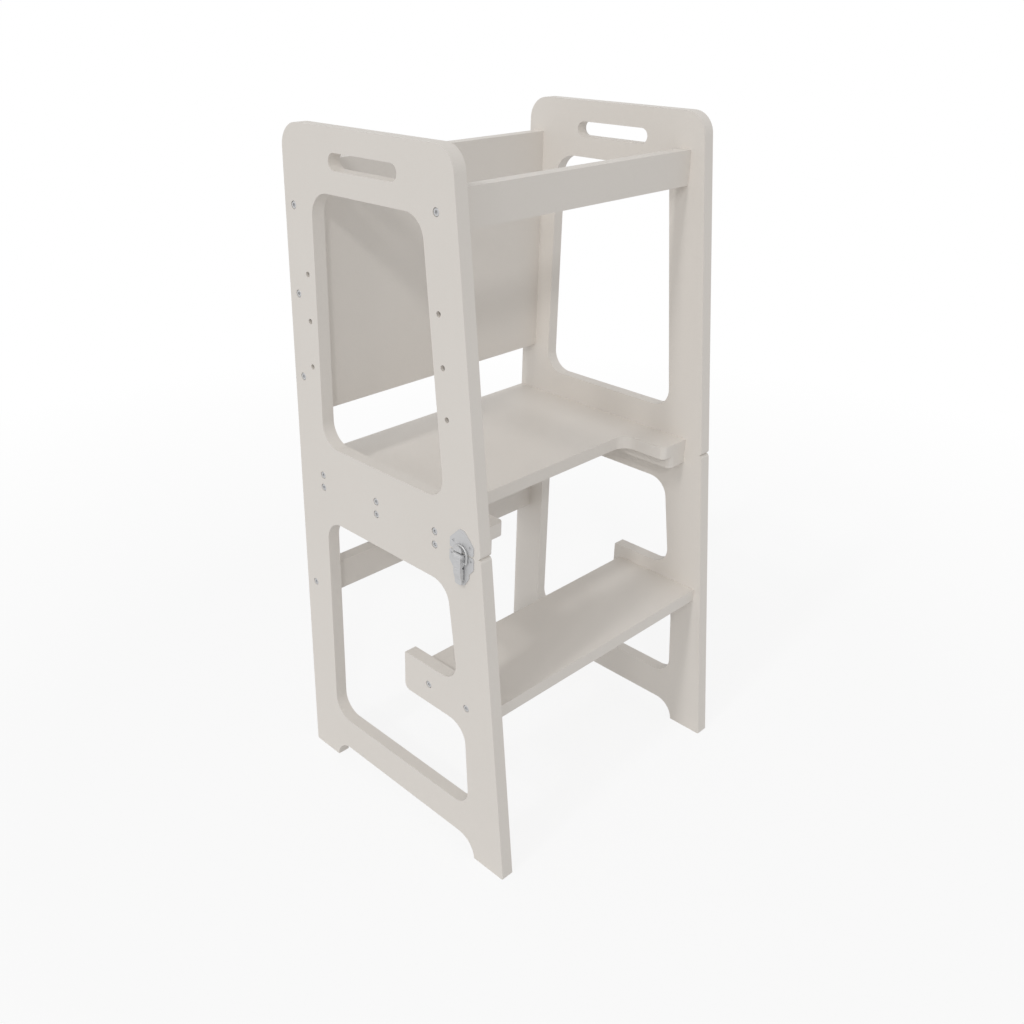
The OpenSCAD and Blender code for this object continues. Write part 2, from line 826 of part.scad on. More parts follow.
// Catch plate with the tongue that holds the hook.
module latch_catch() {
  half = catch_width / 2;
  top_half = catch_top_width / 2;
  root_out = tongue_out + tongue_sheet;
  color(steel_colour)
    difference() {
      union() {
        along_x(0, plate_thickness)
          rounded_outline([
            [-half, plate_seam_gap],
            [half, plate_seam_gap],
            [half, catch_shoulder],
            [top_half, catch_top],
            [-top_half, catch_top],
            [-half, catch_shoulder]
          ], concat([plate_radius, plate_radius], [for (i = [0:3]) shoulder_radius]));
        across_y(tongue_width) {
          rounded_outline([
            [0, tongue_seat - tongue_sheet],
            [root_out, tongue_seat - tongue_sheet],
            [root_out, tongue_seat],
            [0, tongue_seat]
          ], [0, tongue_sheet, 0, 0]);
        }
        along_x(tongue_out, tongue_sheet)
          intersection() {
            translate([0, tongue_top - tongue_crown]) circle(r = tongue_crown);
            translate([-tongue_crown, tongue_hem]) square(2 * tongue_crown);
          }
      }
      screw_pilots(catch_screws);
    }
}

// Base plate with the two ears that carry the lever's pin.
module latch_keeper() {
  half = keeper_width / 2;
  tail = keeper_tail_width / 2;
  foot = keeper_foot_width / 2;
  color(steel_colour)
    difference() {
      union() {
        along_x(0, plate_thickness) {
          rounded_outline([
            [-half, -plate_seam_gap],
            [-half, -keeper_shoulder],
            [-tail, -keeper_taper],
            [tail, -keeper_taper],
            [half, -keeper_shoulder],
            [half, -plate_seam_gap]
          ], [plate_radius, shoulder_radius, 0, 0, shoulder_radius, plate_radius]);
          rounded_outline([
            [-tail, -keeper_shoulder],
            [-tail, -keeper_tail_drop],
            [-foot, -keeper_foot],
            [foot, -keeper_foot],
            [tail, -keeper_tail_drop],
            [tail, -keeper_shoulder]
          ], [0, plate_radius, plate_radius, plate_radius, plate_radius, 0]);
        }
        for (k = [0, 1])
          mirror([0, k, 0])
            translate([0, (ear_inner + ear_outer) / 2, 0])
              across_y(ear_thickness) {
                translate([0, -pivot_drop - ear_radius]) square([pivot_out, 2 * ear_radius]);
                translate([pivot_out, -pivot_drop]) circle(r = ear_radius);
              }
      }
      at_pivot() pin_bore(lever_pin_radius + seat_gap);
      screw_pilots(keeper_screws);
    }
}

module pin_bore(radius) {
  translate([0, -ear_outer - cut_over, 0]) rotate([-90, 0, 0])
    cylinder(r = radius, h = 2 * (ear_outer + cut_over));
}

module lever_pin() {
  color(steel_colour)
    at_pivot() {
      translate([0, -ear_outer, 0]) rotate([-90, 0, 0])
        cylinder(r = lever_pin_radius, h = 2 * ear_outer);
      for (k = [0, 1])
        mirror([0, k, 0])
          translate([0, ear_outer, 0]) rotate([-90, 0, 0])
            cylinder(r = pin_head_radius, h = pin_head_height);
    }
}

// Side view of the lever, drawn out from the pivot.
module lever_outline() {
  face = lever_round;
  under = flange_out - pivot_out;
  heel = heel_out - pivot_out;
  end_face = lever_end_out - pivot_out;
  circle(r = lever_round);
  polygon([
    [0, 0],
    [face, 0],
    [face, -lever_bend],
    [end_face, -lever_reach],
    [heel, -lever_reach],
    [heel, -slit_drop],
    [under, -slit_drop],
    [under, 0]
  ]);
}

// The same view of the room between the flanges.
module lever_hollow() {
  face = lever_round - lever_sheet;
  end_face = lever_end_out - pivot_out - lever_sheet;
  circle(r = face);
  polygon([
    [-lever_round - cut_over, lever_round + cut_over],
    [0, lever_round + cut_over],
    [0, face],
    [face, 0],
    [face, -lever_bend],
    [end_face, -lever_reach],
    [end_face, -lever_reach - cut_over],
    [-lever_round - cut_over, -lever_reach - cut_over]
  ]);
}

module latch_lever() {
  bar_x = bar_out - pivot_out;
  lip_out = lever_end_out - pivot_out;
  color(steel_colour)
    at_pivot()
      difference() {
        union() {
          across_y(lever_width) lever_outline();
          finger_lip(lip_out);
        }
        across_y(lever_width - 2 * lever_sheet) lever_hollow();
        pin_bore(lever_pin_radius + running_gap);
        translate([bar_x, 0, -bar_drop]) pin_bore(wire_radius + running_gap);
        translate([heel_out - pivot_out, 0, -notch_drop]) pin_bore(notch_radius);
        pressed_lines();
      }
}

// Two shallow lines across the lever's face.
module pressed_lines() {
  for (k = [0, 1])
    translate([lever_round + line_radius - line_depth, -line_length / 2, -line_drop - k * line_pitch])
      rotate([-90, 0, 0]) cylinder(r = line_radius, h = line_length);
}

// The lever's sheet runs on past the flanges as a lip for a finger.
module finger_lip(face_x) {
  half = lever_half;
  along_x(face_x - lever_sheet, lever_sheet)
    rounded_outline([
      [-half, -lever_reach],
      [-half, -lip_reach],
      [half, -lip_reach],
      [half, -lever_reach]
    ], [0, plate_radius, plate_radius, 0]);
}

// Closed wire hook: bar through the flanges, two legs and a round top.
module latch_hook() {
  arch_z = hook_height - hook_radius;
  bar_half = hook_radius - hook_bend;
  color(steel_colour)
    translate([bar_out, 0, -pivot_drop - bar_drop])
      rotate([0, -hook_tilt, 0]) {
        translate([0, -bar_half, 0]) rotate([-90, 0, 0])
          cylinder(r = wire_radius, h = 2 * bar_half);
        for (k = [0, 1])
          mirror([0, k, 0]) {
            translate([0, bar_half, hook_bend]) rotate([90, 0, 90]) rotate([0, 0, -90])
              rotate_extrude(angle = 90) translate([hook_bend, 0]) circle(r = wire_radius);
            translate([0, hook_radius, hook_bend])
              cylinder(r = wire_radius, h = arch_z - hook_bend);
          }
        translate([0, 0, arch_z]) rotate([90, 0, 90])
          rotate_extrude(angle = 180) translate([hook_radius, 0]) circle(r = wire_radius);
      }
}

// Nodes

module lower_side_left() { color(wood_colour) lower_side(); }
module lower_side_right() { color(wood_colour) on_side(true) lower_side(); }
module upper_side_left() { color(wood_colour) upper_side(); }
module upper_side_right() { color(wood_colour) on_side(true) upper_side(); }
module bolts_back_panel() { bolts(back_bolts); }
module bolts_front_rail() { bolts(front_rail_bolts); }
module bolts_platform() { bolts(platform_bolts); }
module bolts_frame_board() { bolts(frame_bolts); }
module bolts_rear_rail() { bolts(rear_rail_bolts); }
module bolts_step() { bolts(step_bolts); }
module inserts_upper() { inserts(concat(back_bolts, front_rail_bolts, platform_bolts)); }
module inserts_lower() { inserts(concat(frame_bolts, rear_rail_bolts, step_bolts)); }
module latch_base_left() { in_latch() latch_keeper(); }
module latch_base_right() { on_side(true) in_latch() latch_keeper(); }
module latch_catch_left() { in_latch() latch_catch(); }
module latch_catch_right() { on_side(true) in_latch() latch_catch(); }
module latch_lever_left() { in_latch() latch_lever(); }
module latch_lever_right() { on_side(true) in_latch() latch_lever(); }
module latch_hook_left() { in_latch() latch_hook(); }
module latch_hook_right() { on_side(true) in_latch() latch_hook(); }
module lever_pin_left() { in_latch() lever_pin(); }
module lever_pin_right() { on_side(true) in_latch() lever_pin(); }
module latch_screws_upper() { latch_screws(catch_screws); }
module latch_screws_lower() { latch_screws(keeper_screws); }

lower_side_left();
lower_side_right();
lower_frame_board();
lower_rear_rail();
step_board();
upper_side_left();
upper_side_right();
back_panel();
front_top_rail();
platform();
bolts_back_panel();
bolts_front_rail();
bolts_platform();
bolts_frame_board();
bolts_rear_rail();
bolts_step();
inserts_upper();
inserts_lower();
hinge_leaves_upper();
hinge_leaves_lower();
hinge_pins();
hinge_screws_upper();
hinge_screws_lower();
latch_base_left();
latch_base_right();
latch_catch_left();
latch_catch_right();
latch_lever_left();
latch_lever_right();
latch_hook_left();
latch_hook_right();
lever_pin_left();
lever_pin_right();
latch_screws_upper();
latch_screws_lower();
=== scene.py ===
"""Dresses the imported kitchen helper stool: paint, metal finishes, light and camera.

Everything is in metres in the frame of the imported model: X across, Y to the rear, Z up.
"""

from __future__ import annotations

import logging
import math
from dataclasses import dataclass
from enum import Enum
from typing import Any, Iterable

import bmesh
import bpy
from mathutils import Euler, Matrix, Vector


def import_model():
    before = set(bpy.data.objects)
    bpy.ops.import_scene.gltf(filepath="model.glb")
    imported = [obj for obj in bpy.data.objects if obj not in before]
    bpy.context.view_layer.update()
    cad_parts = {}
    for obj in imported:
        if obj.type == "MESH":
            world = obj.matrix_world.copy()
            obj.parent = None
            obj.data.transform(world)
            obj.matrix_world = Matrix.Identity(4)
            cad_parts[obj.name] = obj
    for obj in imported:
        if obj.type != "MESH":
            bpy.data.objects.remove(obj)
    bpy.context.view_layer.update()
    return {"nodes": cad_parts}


LOG = logging.getLogger("helper_stool")

Colour = tuple[float, float, float]
Point = tuple[float, float, float]

WHITE: Colour = (1.0, 1.0, 1.0)
SHEET_NICKEL: Colour = (0.62, 0.62, 0.625)
SHEET_NICKEL_DULL: Colour = (0.56, 0.56, 0.57)
TURNED_NICKEL: Colour = (0.60, 0.60, 0.605)
TURNED_NICKEL_DULL: Colour = (0.53, 0.53, 0.54)
WIRE_NICKEL: Colour = (0.60, 0.60, 0.60)
HINGE_NICKEL: Colour = (0.62, 0.62, 0.62)
WORN_NICKEL: Colour = (0.54, 0.54, 0.55)
YELLOW_ZINC: Colour = (0.62, 0.52, 0.34)
YELLOW_ZINC_DULL: Colour = (0.45, 0.38, 0.26)

# Places of the colour sockets on a Mix node
MIX_FACTOR = 0
MIX_FIRST = 6
MIX_SECOND = 7
MIX_RESULT = 2

# Distance between two nodes in the node editor
NODE_SPACING = 180

# The value that a noise pattern varies about
NOISE_MIDDLE = 0.5


class Side(Enum):
    """The two mirrored sides of the stool."""

    LEFT = "left"
    RIGHT = "right"


class FaceAxis(Enum):
    """The direction that a board's broad faces look along."""

    ACROSS = (1.0, 0.0, 0.0)
    DEPTH = (0.0, 1.0, 0.0)
    UP = (0.0, 0.0, 1.0)


@dataclass(frozen=True)
class Ramp:
    """A range of numbers that is mapped to another, with both ends held."""

    low: float
    high: float
    to_low: float = 0.0
    to_high: float = 1.0


@dataclass(frozen=True)
class Pattern:
    """A noise pattern; a larger scale gives a finer one."""

    detail: float
    roughness: float = 0.5
    scale: float = 1.0


def rgba(colour: Colour) -> tuple[float, float, float, float]:
    """Returns the colour with full opacity."""
    return (*colour, 1.0)


def grey(level: float) -> Colour:
    """Returns the neutral colour of a level."""
    return (level, level, level)


class NodeBuilder:
    """Adds and links nodes in one shader tree."""

    def __init__(self, tree: bpy.types.NodeTree) -> None:
        """Empties the tree to start with.

        Args:
            tree: the material's, world's or group's node tree.
        """
        self.tree = tree
        self.tree.nodes.clear()
        self._column = 0

    def add(self, kind: str, **values: Any) -> bpy.types.Node:
        """Adds a node and sets its properties and unlinked inputs.

        Args:
            kind: Blender's node type.
            values: a property's name and value, or an input's name with _ for spaces.

        Returns:
            The new node.
        """
        node = self.tree.nodes.new(kind)
        node.location = (self._column * NODE_SPACING, 0)
        self._column += 1
        for name, value in values.items():
            if hasattr(node, name):
                setattr(node, name, value)
            else:
                node.inputs[name.replace("_", " ")].default_value = value
        return node

    def link(self, source: bpy.types.NodeSocket, target: bpy.types.NodeSocket) -> None:
        """Links one socket to another."""
        self.tree.links.new(source, target)

    def feed(self, target: bpy.types.NodeSocket, value: Any) -> None:
        """Links a socket, or writes a number or colour.

        Args:
            target: the input to fill.
            value: a socket, a number or a colour.
        """
        if isinstance(value, bpy.types.NodeSocket):
            self.link(value, target)
        elif isinstance(value, tuple):
            target.default_value = rgba(value)
        else:
            target.default_value = value

    def math(self, operation: str, a: Any, b: Any = 0.0, clamp: bool = False) -> bpy.types.NodeSocket:
        """Adds a Math node.

        Args:
            operation: Blender's name of the operation.
            a: a socket or a number.
            b: a socket or a number.
            clamp: whether the result stays between 0 and 1.

        Returns:
            The result's socket.
        """
        node = self.add("ShaderNodeMath", operation=operation, use_clamp=clamp)
        for place, value in enumerate((a, b)):
            self.feed(node.inputs[place], value)
        return node.outputs[0]

    def dot(self, a: bpy.types.NodeSocket, b: bpy.types.NodeSocket) -> bpy.types.NodeSocket:
        """Adds the dot product of two vectors.

        Args:
            a: the first vector's socket.
            b: the second vector's socket.

        Returns:
            The product's socket.
        """
        node = self.add("ShaderNodeVectorMath", operation="DOT_PRODUCT")
        self.link(a, node.inputs[0])
        self.link(b, node.inputs[1])
        return node.outputs["Value"]

    def mix(self, factor: Any, a: Any, b: Any) -> bpy.types.NodeSocket:
        """Mixes two colours.

        Args:
            factor: a socket or a number; 0 gives a and 1 gives b.
            a: a socket or a colour.
            b: a socket or a colour.

        Returns:
            The mixed colour's socket.
        """
        node = self.add("ShaderNodeMix", data_type="RGBA")
        self.feed(node.inputs[MIX_FACTOR], factor)
        self.feed(node.inputs[MIX_FIRST], a)
        self.feed(node.inputs[MIX_SECOND], b)
        return node.outputs[MIX_RESULT]

    def spread(self, value: bpy.types.NodeSocket, ramp: Ramp) -> bpy.types.NodeSocket:
        """Maps a range of numbers to another.

        Args:
            value: the socket to map.
            ramp: both ranges.

        Returns:
            The mapped number's socket.
        """
        node = self.add("ShaderNodeMapRange")
        self.link(value, node.inputs[0])
        for place, number in enumerate((ramp.low, ramp.high, ramp.to_low, ramp.to_high), start=1):
            node.inputs[place].default_value = number
        return node.outputs[0]

    def noise(
        self, vector: bpy.types.NodeSocket, pattern: Pattern, scale: bpy.types.NodeSocket | None = None
    ) -> bpy.types.NodeSocket:
        """Adds a noise pattern.

        Args:
            vector: the coordinates that it reads.
            pattern: its detail, roughness and scale.
            scale: a socket that stands in for the pattern's scale.

        Returns:
            The noise value's socket.
        """
        node = self.add(
            "ShaderNodeTexNoise", Detail=pattern.detail, Roughness=pattern.roughness, Scale=pattern.scale
        )
        self.link(vector, node.inputs["Vector"])
        if scale is not None:
            self.link(scale, node.inputs["Scale"])
        return node.outputs["Fac"]

    def seen_rays(self) -> bpy.types.NodeSocket:
        """Adds a mask that is 1 for what the camera sees, also in metal and through glass.

        Returns:
            The mask's socket.
        """
        path = self.add("ShaderNodeLightPath")
        seen = self.math("MAXIMUM", path.outputs["Is Camera Ray"], path.outputs["Is Glossy Ray"])
        return self.math("MAXIMUM", seen, path.outputs["Is Transmission Ray"])

    def mix_shaders(
        self, factor: bpy.types.NodeSocket, a: bpy.types.Node, b: bpy.types.Node
    ) -> bpy.types.NodeSocket:
        """Mixes two shaders.

        Args:
            factor: a mask's socket; 0 gives a and 1 gives b.
            a: the first shader's node.
            b: the second shader's node.

        Returns:
            The mixed shader's socket.
        """
        node = self.add("ShaderNodeMixShader")
        for place, source in enumerate((factor, a.outputs[0], b.outputs[0])):
            self.link(source, node.inputs[place])
        return node.outputs[0]

    def surface(self, shader: bpy.types.NodeSocket, kind: str = "ShaderNodeOutputMaterial") -> None:
        """Ends the tree with an output node that shows the shader."""
        self.link(shader, self.add(kind).inputs["Surface"])


def new_material(name: str) -> tuple[bpy.types.Material, NodeBuilder]:
    """Makes a material with an empty node tree.

    Args:
        name: the material's name.

    Returns:
        The material and the builder of its tree.
    """
    material = bpy.data.materials.new(name)
    material.use_nodes = True
    return material, NodeBuilder(material.node_tree)


class EffectGroup:
    """A shader node group that several materials share, with named sockets."""

    name = "effect"
    numbers: dict[str, float] = {}
    colours: tuple[str, ...] = ()
    results: dict[str, str] = {}

    def __init__(self) -> None:
        """Builds the group once."""
        self.group = bpy.data.node_groups.new(self.name, "ShaderNodeTree")
        face = self.group.interface
        face.new_socket("Vector", in_out="INPUT", socket_type="NodeSocketVector")
        for label in self.colours:
            face.new_socket(label, in_out="INPUT", socket_type="NodeSocketColor")
        for label, value in self.numbers.items():
            socket = face.new_socket(label, in_out="INPUT", socket_type="NodeSocketFloat")
            socket.default_value = value
        for label, kind in self.results.items():
            face.new_socket(label, in_out="OUTPUT", socket_type=kind)
        build = NodeBuilder(self.group)
        entry = build.add("NodeGroupInput")
        leave = build.add("NodeGroupOutput")
        self.fill(build, entry, leave)

    def fill(self, build: NodeBuilder, entry: bpy.types.Node, leave: bpy.types.Node) -> None:
        """Makes the pattern; each effect has its own."""
        raise NotImplementedError

    def place(self, build: NodeBuilder, vector: bpy.types.NodeSocket, **values: Any) -> bpy.types.Node:
        """Puts the group in a material.

        Args:
            build: the material's builder.
            vector: the coordinates that the pattern reads.
            values: input names, with _ for spaces, and their values.

        Returns:
            The group's node.
        """
        node = build.add("ShaderNodeGroup", node_tree=self.group)
        build.link(vector, node.inputs["Vector"])
        for name, value in values.items():
            build.feed(node.inputs[name.replace("_", " ")], value)
        return node


class PaintSkin(EffectGroup):
    """Sprayed satin paint: faint clouding, fine stipple and uneven sheen."""

    name = "paint_skin"
    colours = ("Paint", "Shade")
    numbers = {"Cloud Scale": 7.0, "Cloud": 0.3, "Stipple Scale": 620.0, "Sheen": 0.45}
    results = {"Color": "NodeSocketColor", "Roughness": "NodeSocketFloat", "Height": "NodeSocketFloat"}

    cloud_pattern = Pattern(detail=3.0, roughness=0.55)
    cloud_ramp = Ramp(low=0.3, high=0.7)
    stipple_pattern = Pattern(detail=2.0, roughness=0.6)
    fleck_ramp = Ramp(low=0.35, high=0.75, to_high=0.35)
    patch_pattern = Pattern(detail=2.0, scale=46.0)
    patch_roughness = 0.16
    swell_pattern = Pattern(detail=1.0, scale=120.0)

    def fill(self, build: NodeBuilder, entry: bpy.types.Node, leave: bpy.types.Node) -> None:
        """Mixes noises into the colour, the sheen and the height.

        Args:
            build: the group's builder.
            entry: the group's input node.
            leave: the group's output node.
        """
        vector = entry.outputs["Vector"]
        cloud = build.noise(vector, self.cloud_pattern, entry.outputs["Cloud Scale"])
        cloud = build.spread(cloud, self.cloud_ramp)
        stipple = build.noise(vector, self.stipple_pattern, entry.outputs["Stipple Scale"])
        fleck = build.spread(stipple, self.fleck_ramp)
        amount = build.math("MULTIPLY", cloud, entry.outputs["Cloud"])
        amount = build.math("ADD", amount, fleck, clamp=True)
        colour = build.mix(amount, entry.outputs["Paint"], entry.outputs["Shade"])
        build.link(colour, leave.inputs["Color"])
        patch = build.noise(vector, self.patch_pattern)
        uneven = build.math("MULTIPLY", build.math("SUBTRACT", patch, NOISE_MIDDLE), self.patch_roughness)
        rough = build.math("ADD", entry.outputs["Sheen"], uneven, clamp=True)
        build.link(rough, leave.inputs["Roughness"])
        swell = build.noise(vector, self.swell_pattern)
        build.link(build.math("ADD", stipple, swell), leave.inputs["Height"])


class BoardEdge(EffectGroup):
    """Where a board's cut edge shows, and the fine fibre that stands through the paint there."""

    name = "board_edge"
    numbers = {"Across": 1.0, "Depth": 0.0, "Up": 0.0, "Fibre Scale": 190.0}
    results = {"Edge": "NodeSocketFloat", "Fibre": "NodeSocketFloat"}

    edge_ramp = Ramp(low=0.3, high=0.7, to_low=1.0, to_high=0.0)
    drift_pattern = Pattern(detail=2.0, scale=18.0)
    drift_reach = 6.0
    fibre_pattern = Pattern(detail=3.0, roughness=0.65)

    def fill(self, build: NodeBuilder, entry: bpy.types.Node, leave: bpy.types.Node) -> None:
        """Compares the surface's direction with that of the broad faces, and lays fibre along the edge.

        Args:
            build: the group's builder.
            entry: the group's input node.
            leave: the group's output node.
        """
        vector = entry.outputs["Vector"]
        normal = build.add("ShaderNodeTexCoord").outputs["Normal"]
        axis = build.add("ShaderNodeCombineXYZ")
        for place, label in enumerate(("Across", "Depth", "Up")):
            build.link(entry.outputs[label], axis.inputs[place])
        facing = build.math("ABSOLUTE", build.dot(normal, axis.outputs[0]))
        build.link(build.spread(facing, self.edge_ramp), leave.inputs["Edge"])
        through = build.dot(vector, axis.outputs[0])
        layer = build.add("ShaderNodeCombineXYZ")
        build.link(build.math("MULTIPLY", through, entry.outputs["Fibre Scale"]), layer.inputs[0])
        drift = build.noise(vector, self.drift_pattern)
        build.link(build.math("MULTIPLY", drift, self.drift_reach), layer.inputs[1])
        build.link(build.noise(layer.outputs[0], self.fibre_pattern), leave.inputs["Fibre"])


class MetalGrain(EffectGroup):
    """Plated metal: fine streaks along one direction and dull patches from handling."""

    name = "metal_grain"
    colours = ("Metal", "Dull")
    numbers = {"Streak Scale": 900.0, "Stretch": 0.06, "Polish": 0.3}
    results = {"Color": "NodeSocketColor", "Roughness": "NodeSocketFloat", "Height": "NodeSocketFloat"}

    streak_pattern = Pattern(detail=3.0, roughness=0.6)
    streak_roughness = 0.16
    patch_pattern = Pattern(detail=3.0, roughness=0.6, scale=140.0)
    patch_ramp = Ramp(low=0.45, high=0.75, to_high=0.6)
    patch_roughness = 0.15

    def fill(self, build: NodeBuilder, entry: bpy.types.Node, leave: bpy.types.Node) -> None:
        """Stretches a noise along Z for the streaks and adds broad patches.

        Args:
            build: the group's builder.
            entry: the group's input node.
            leave: the group's output node.
        """
        vector = entry.outputs["Vector"]
        parts = build.add("ShaderNodeSeparateXYZ")
        build.link(vector, parts.inputs[0])
        stretched = build.add("ShaderNodeCombineXYZ")
        build.link(parts.outputs[0], stretched.inputs[0])
        build.link(parts.outputs[1], stretched.inputs[1])
        build.link(build.math("MULTIPLY", parts.outputs[2], entry.outputs["Stretch"]), stretched.inputs[2])
        streak = build.noise(stretched.outputs[0], self.streak_pattern, entry.outputs["Streak Scale"])
        patch = build.noise(vector, self.patch_pattern)
        dull = build.math("MULTIPLY", build.spread(patch, self.patch_ramp), streak)
        build.link(build.mix(dull, entry.outputs["Metal"], entry.outputs["Dull"]), leave.inputs["Color"])
        rough = build.math("MULTIPLY", build.math("SUBTRACT", streak, NOISE_MIDDLE), self.streak_roughness)
        rough = build.math("ADD", rough, build.math("MULTIPLY", dull, self.patch_roughness))
        rough = build.math("ADD", entry.outputs["Polish"], rough, clamp=True)
        build.link(rough, leave.inputs["Roughness"])
        build.link(streak, leave.inputs["Height"])


@dataclass
class Effects:
    """The shared shader groups."""

    paint: PaintSkin
    edge: BoardEdge
    metal: MetalGrain


@dataclass(frozen=True)
class PaintedBoard:
    """Satin greige paint over a smooth board."""

    name: str
    face: FaceAxis
    paint: Colour = (0.765, 0.726, 0.680)
    shade: Colour = (0.730, 0.690, 0.642)
    sheen: float = 0.5
    stipple: float = 0.012
    stipple_depth: float = 0.0006
    fibre_low: float = 0.5
    fibre_high: float = 0.8
    fibre: float = 0.08
    fibre_tone: float = 0.93
    fibre_height: float = 0.06
    edge_roughness: float = 0.08
    ior: float = 1.46
    specular: float = 0.35

    def make(self, effects: Effects) -> bpy.types.Material:
        """Builds the material.

        Args:
            effects: the shared groups.

        Returns:
            The finished material.
        """
        material, build = new_material(self.name)
        coords = build.add("ShaderNodeTexCoord").outputs["Object"]
        skin = effects.paint.place(build, coords, Paint=self.paint, Shade=self.shade, Sheen=self.sheen)
        across, depth, up = self.face.value
        group = effects.edge.place(build, coords, Across=across, Depth=depth, Up=up)
        edge = group.outputs["Edge"]
        fibre = group.outputs["Fibre"]
        ramp = Ramp(low=self.fibre_low, high=self.fibre_high, to_high=self.fibre)
        pore = build.math("MULTIPLY", edge, build.spread(fibre, ramp))
        colour = build.mix(pore, skin.outputs["Color"], tuple(self.fibre_tone * c for c in self.shade))
        duller = build.math("MULTIPLY", edge, self.edge_roughness)
        rough = build.math("ADD", skin.outputs["Roughness"], duller, clamp=True)
        raised = build.math("MULTIPLY", fibre, build.math("MULTIPLY", edge, self.fibre_height))
        height = build.math("ADD", skin.outputs["Height"], raised)
        bump = build.add("ShaderNodeBump", Strength=self.stipple, Distance=self.stipple_depth)
        build.link(height, bump.inputs["Height"])
        shader = build.add(
            "ShaderNodeBsdfPrincipled", Metallic=0.0, IOR=self.ior, Specular_IOR_Level=self.specular
        )
        build.link(colour, shader.inputs["Base Color"])
        build.link(rough, shader.inputs["Roughness"])
        build.link(bump.outputs["Normal"], shader.inputs["Normal"])
        build.surface(shader.outputs["BSDF"])
        return material


@dataclass(frozen=True)
class PlatedMetal:
    """Nickel or zinc plate over pressed or turned metal."""

    name: str
    metal: Colour
    dull: Colour
    polish: float
    lustre: float = 0.35
    streak_scale: float = 900.0
    stretch: float = 0.06
    grain: float = 0.06
    grain_depth: float = 0.0002

    def make(self, effects: Effects) -> bpy.types.Material:
        """Builds the material.

        Args:
            effects: the shared groups.

        Returns:
            The finished material.
        """
        material, build = new_material(self.name)
        coords = build.add("ShaderNodeTexCoord").outputs["Object"]
        grain = effects.metal.place(
            build, coords, Metal=self.metal, Dull=self.dull, Polish=self.polish,
            Streak_Scale=self.streak_scale, Stretch=self.stretch,
        )
        bump = build.add("ShaderNodeBump", Strength=self.grain, Distance=self.grain_depth)
        build.link(grain.outputs["Height"], bump.inputs["Height"])
        shader = build.add("ShaderNodeBsdfPrincipled", Metallic=self.lustre)
        build.link(grain.outputs["Color"], shader.inputs["Base Color"])
        build.link(grain.outputs["Roughness"], shader.inputs["Roughness"])
        build.link(bump.outputs["Normal"], shader.inputs["Normal"])
        build.surface(shader.outputs["BSDF"])
        return material


class Finish(Enum):
    """Every finish on the stool."""

    SIDE_PAINT = PaintedBoard("side_paint", FaceAxis.ACROSS)
    PANEL_PAINT = PaintedBoard("panel_paint", FaceAxis.DEPTH)
    TREAD_PAINT = PaintedBoard("tread_paint", FaceAxis.UP, sheen=0.46)
    LATCH_PLATE = PlatedMetal("latch_plate", SHEET_NICKEL, SHEET_NICKEL_DULL, polish=0.5)
    LEVER_SHEET = PlatedMetal("lever_sheet", SHEET_NICKEL, SHEET_NICKEL_DULL, polish=0.48)
    WIRE = PlatedMetal("hook_wire", WIRE_NICKEL, WORN_NICKEL, polish=0.45, streak_scale=1500.0)
    RIVET = PlatedMetal("rivet", TURNED_NICKEL, TURNED_NICKEL_DULL, polish=0.48, stretch=1.0)
    BOLT = PlatedMetal("bolt_nickel", TURNED_NICKEL, TURNED_NICKEL_DULL, polish=0.48, stretch=1.0)
    HINGE = PlatedMetal("hinge_nickel", HINGE_NICKEL, WORN_NICKEL, polish=0.42)
    INSERT = PlatedMetal("insert_zinc", YELLOW_ZINC, YELLOW_ZINC_DULL, polish=0.4, stretch=1.0)


class Wardrobe:
    """Makes each finish once and hands it out."""

    def __init__(self) -> None:
        """Builds the shared shader groups."""
        self.effects = Effects(PaintSkin(), BoardEdge(), MetalGrain())
        self._made: dict[Finish, bpy.types.Material] = {}

    def material(self, finish: Finish) -> bpy.types.Material:
        """Finds a finish's material, and makes it at its first use.

        Args:
            finish: the finish to look up.

        Returns:
            The finish's material.
        """
        if finish not in self._made:
            self._made[finish] = finish.value.make(self.effects)
        return self._made[finish]

    def dress(self, obj: bpy.types.Object, finish: Finish) -> None:
        """Gives every slot of a piece one finish.

        Args:
            obj: the piece.
            finish: the finish that it gets.
        """
        material = self.material(finish)
        if not obj.material_slots:
            obj.data.materials.append(material)
        for slot in obj.material_slots:
            slot.material = material


@dataclass
class SubAssembly:
    """A group of the stool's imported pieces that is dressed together."""

    nodes: dict[str, bpy.types.Object]
    wardrobe: Wardrobe

    def dress_nodes(self, names: Iterable[str], finish: Finish) -> None:
        """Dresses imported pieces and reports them.

        Args:
            names: the pieces' names.
            finish: the finish that they get.
        """
        for name in names:
            self.wardrobe.dress(self.nodes[name], finish)
            LOG.info("dressed %s in %s", name, finish.value.name)

    def build(self) -> None:
        """Dresses the group; each sub-assembly has its own way."""
        raise NotImplementedError


@dataclass
class Boards(SubAssembly):
    """Side panels, platform, step, rails and the back panel."""

    halves: tuple[str, ...] = ("lower", "upper")
    panels: tuple[str, ...] = ("back_panel", "front_top_rail", "lower_rear_rail")
    treads: tuple[str, ...] = ("platform", "lower_frame_board", "step_board")

    def build(self) -> None:
        """Paints every board, by the way that its broad faces look."""
        sides = [f"{half}_side_{side.value}" for half in self.halves for side in Side]
        self.dress_nodes(sides, Finish.SIDE_PAINT)
        self.dress_nodes(self.panels, Finish.PANEL_PAINT)
        self.dress_nodes(self.treads, Finish.TREAD_PAINT)


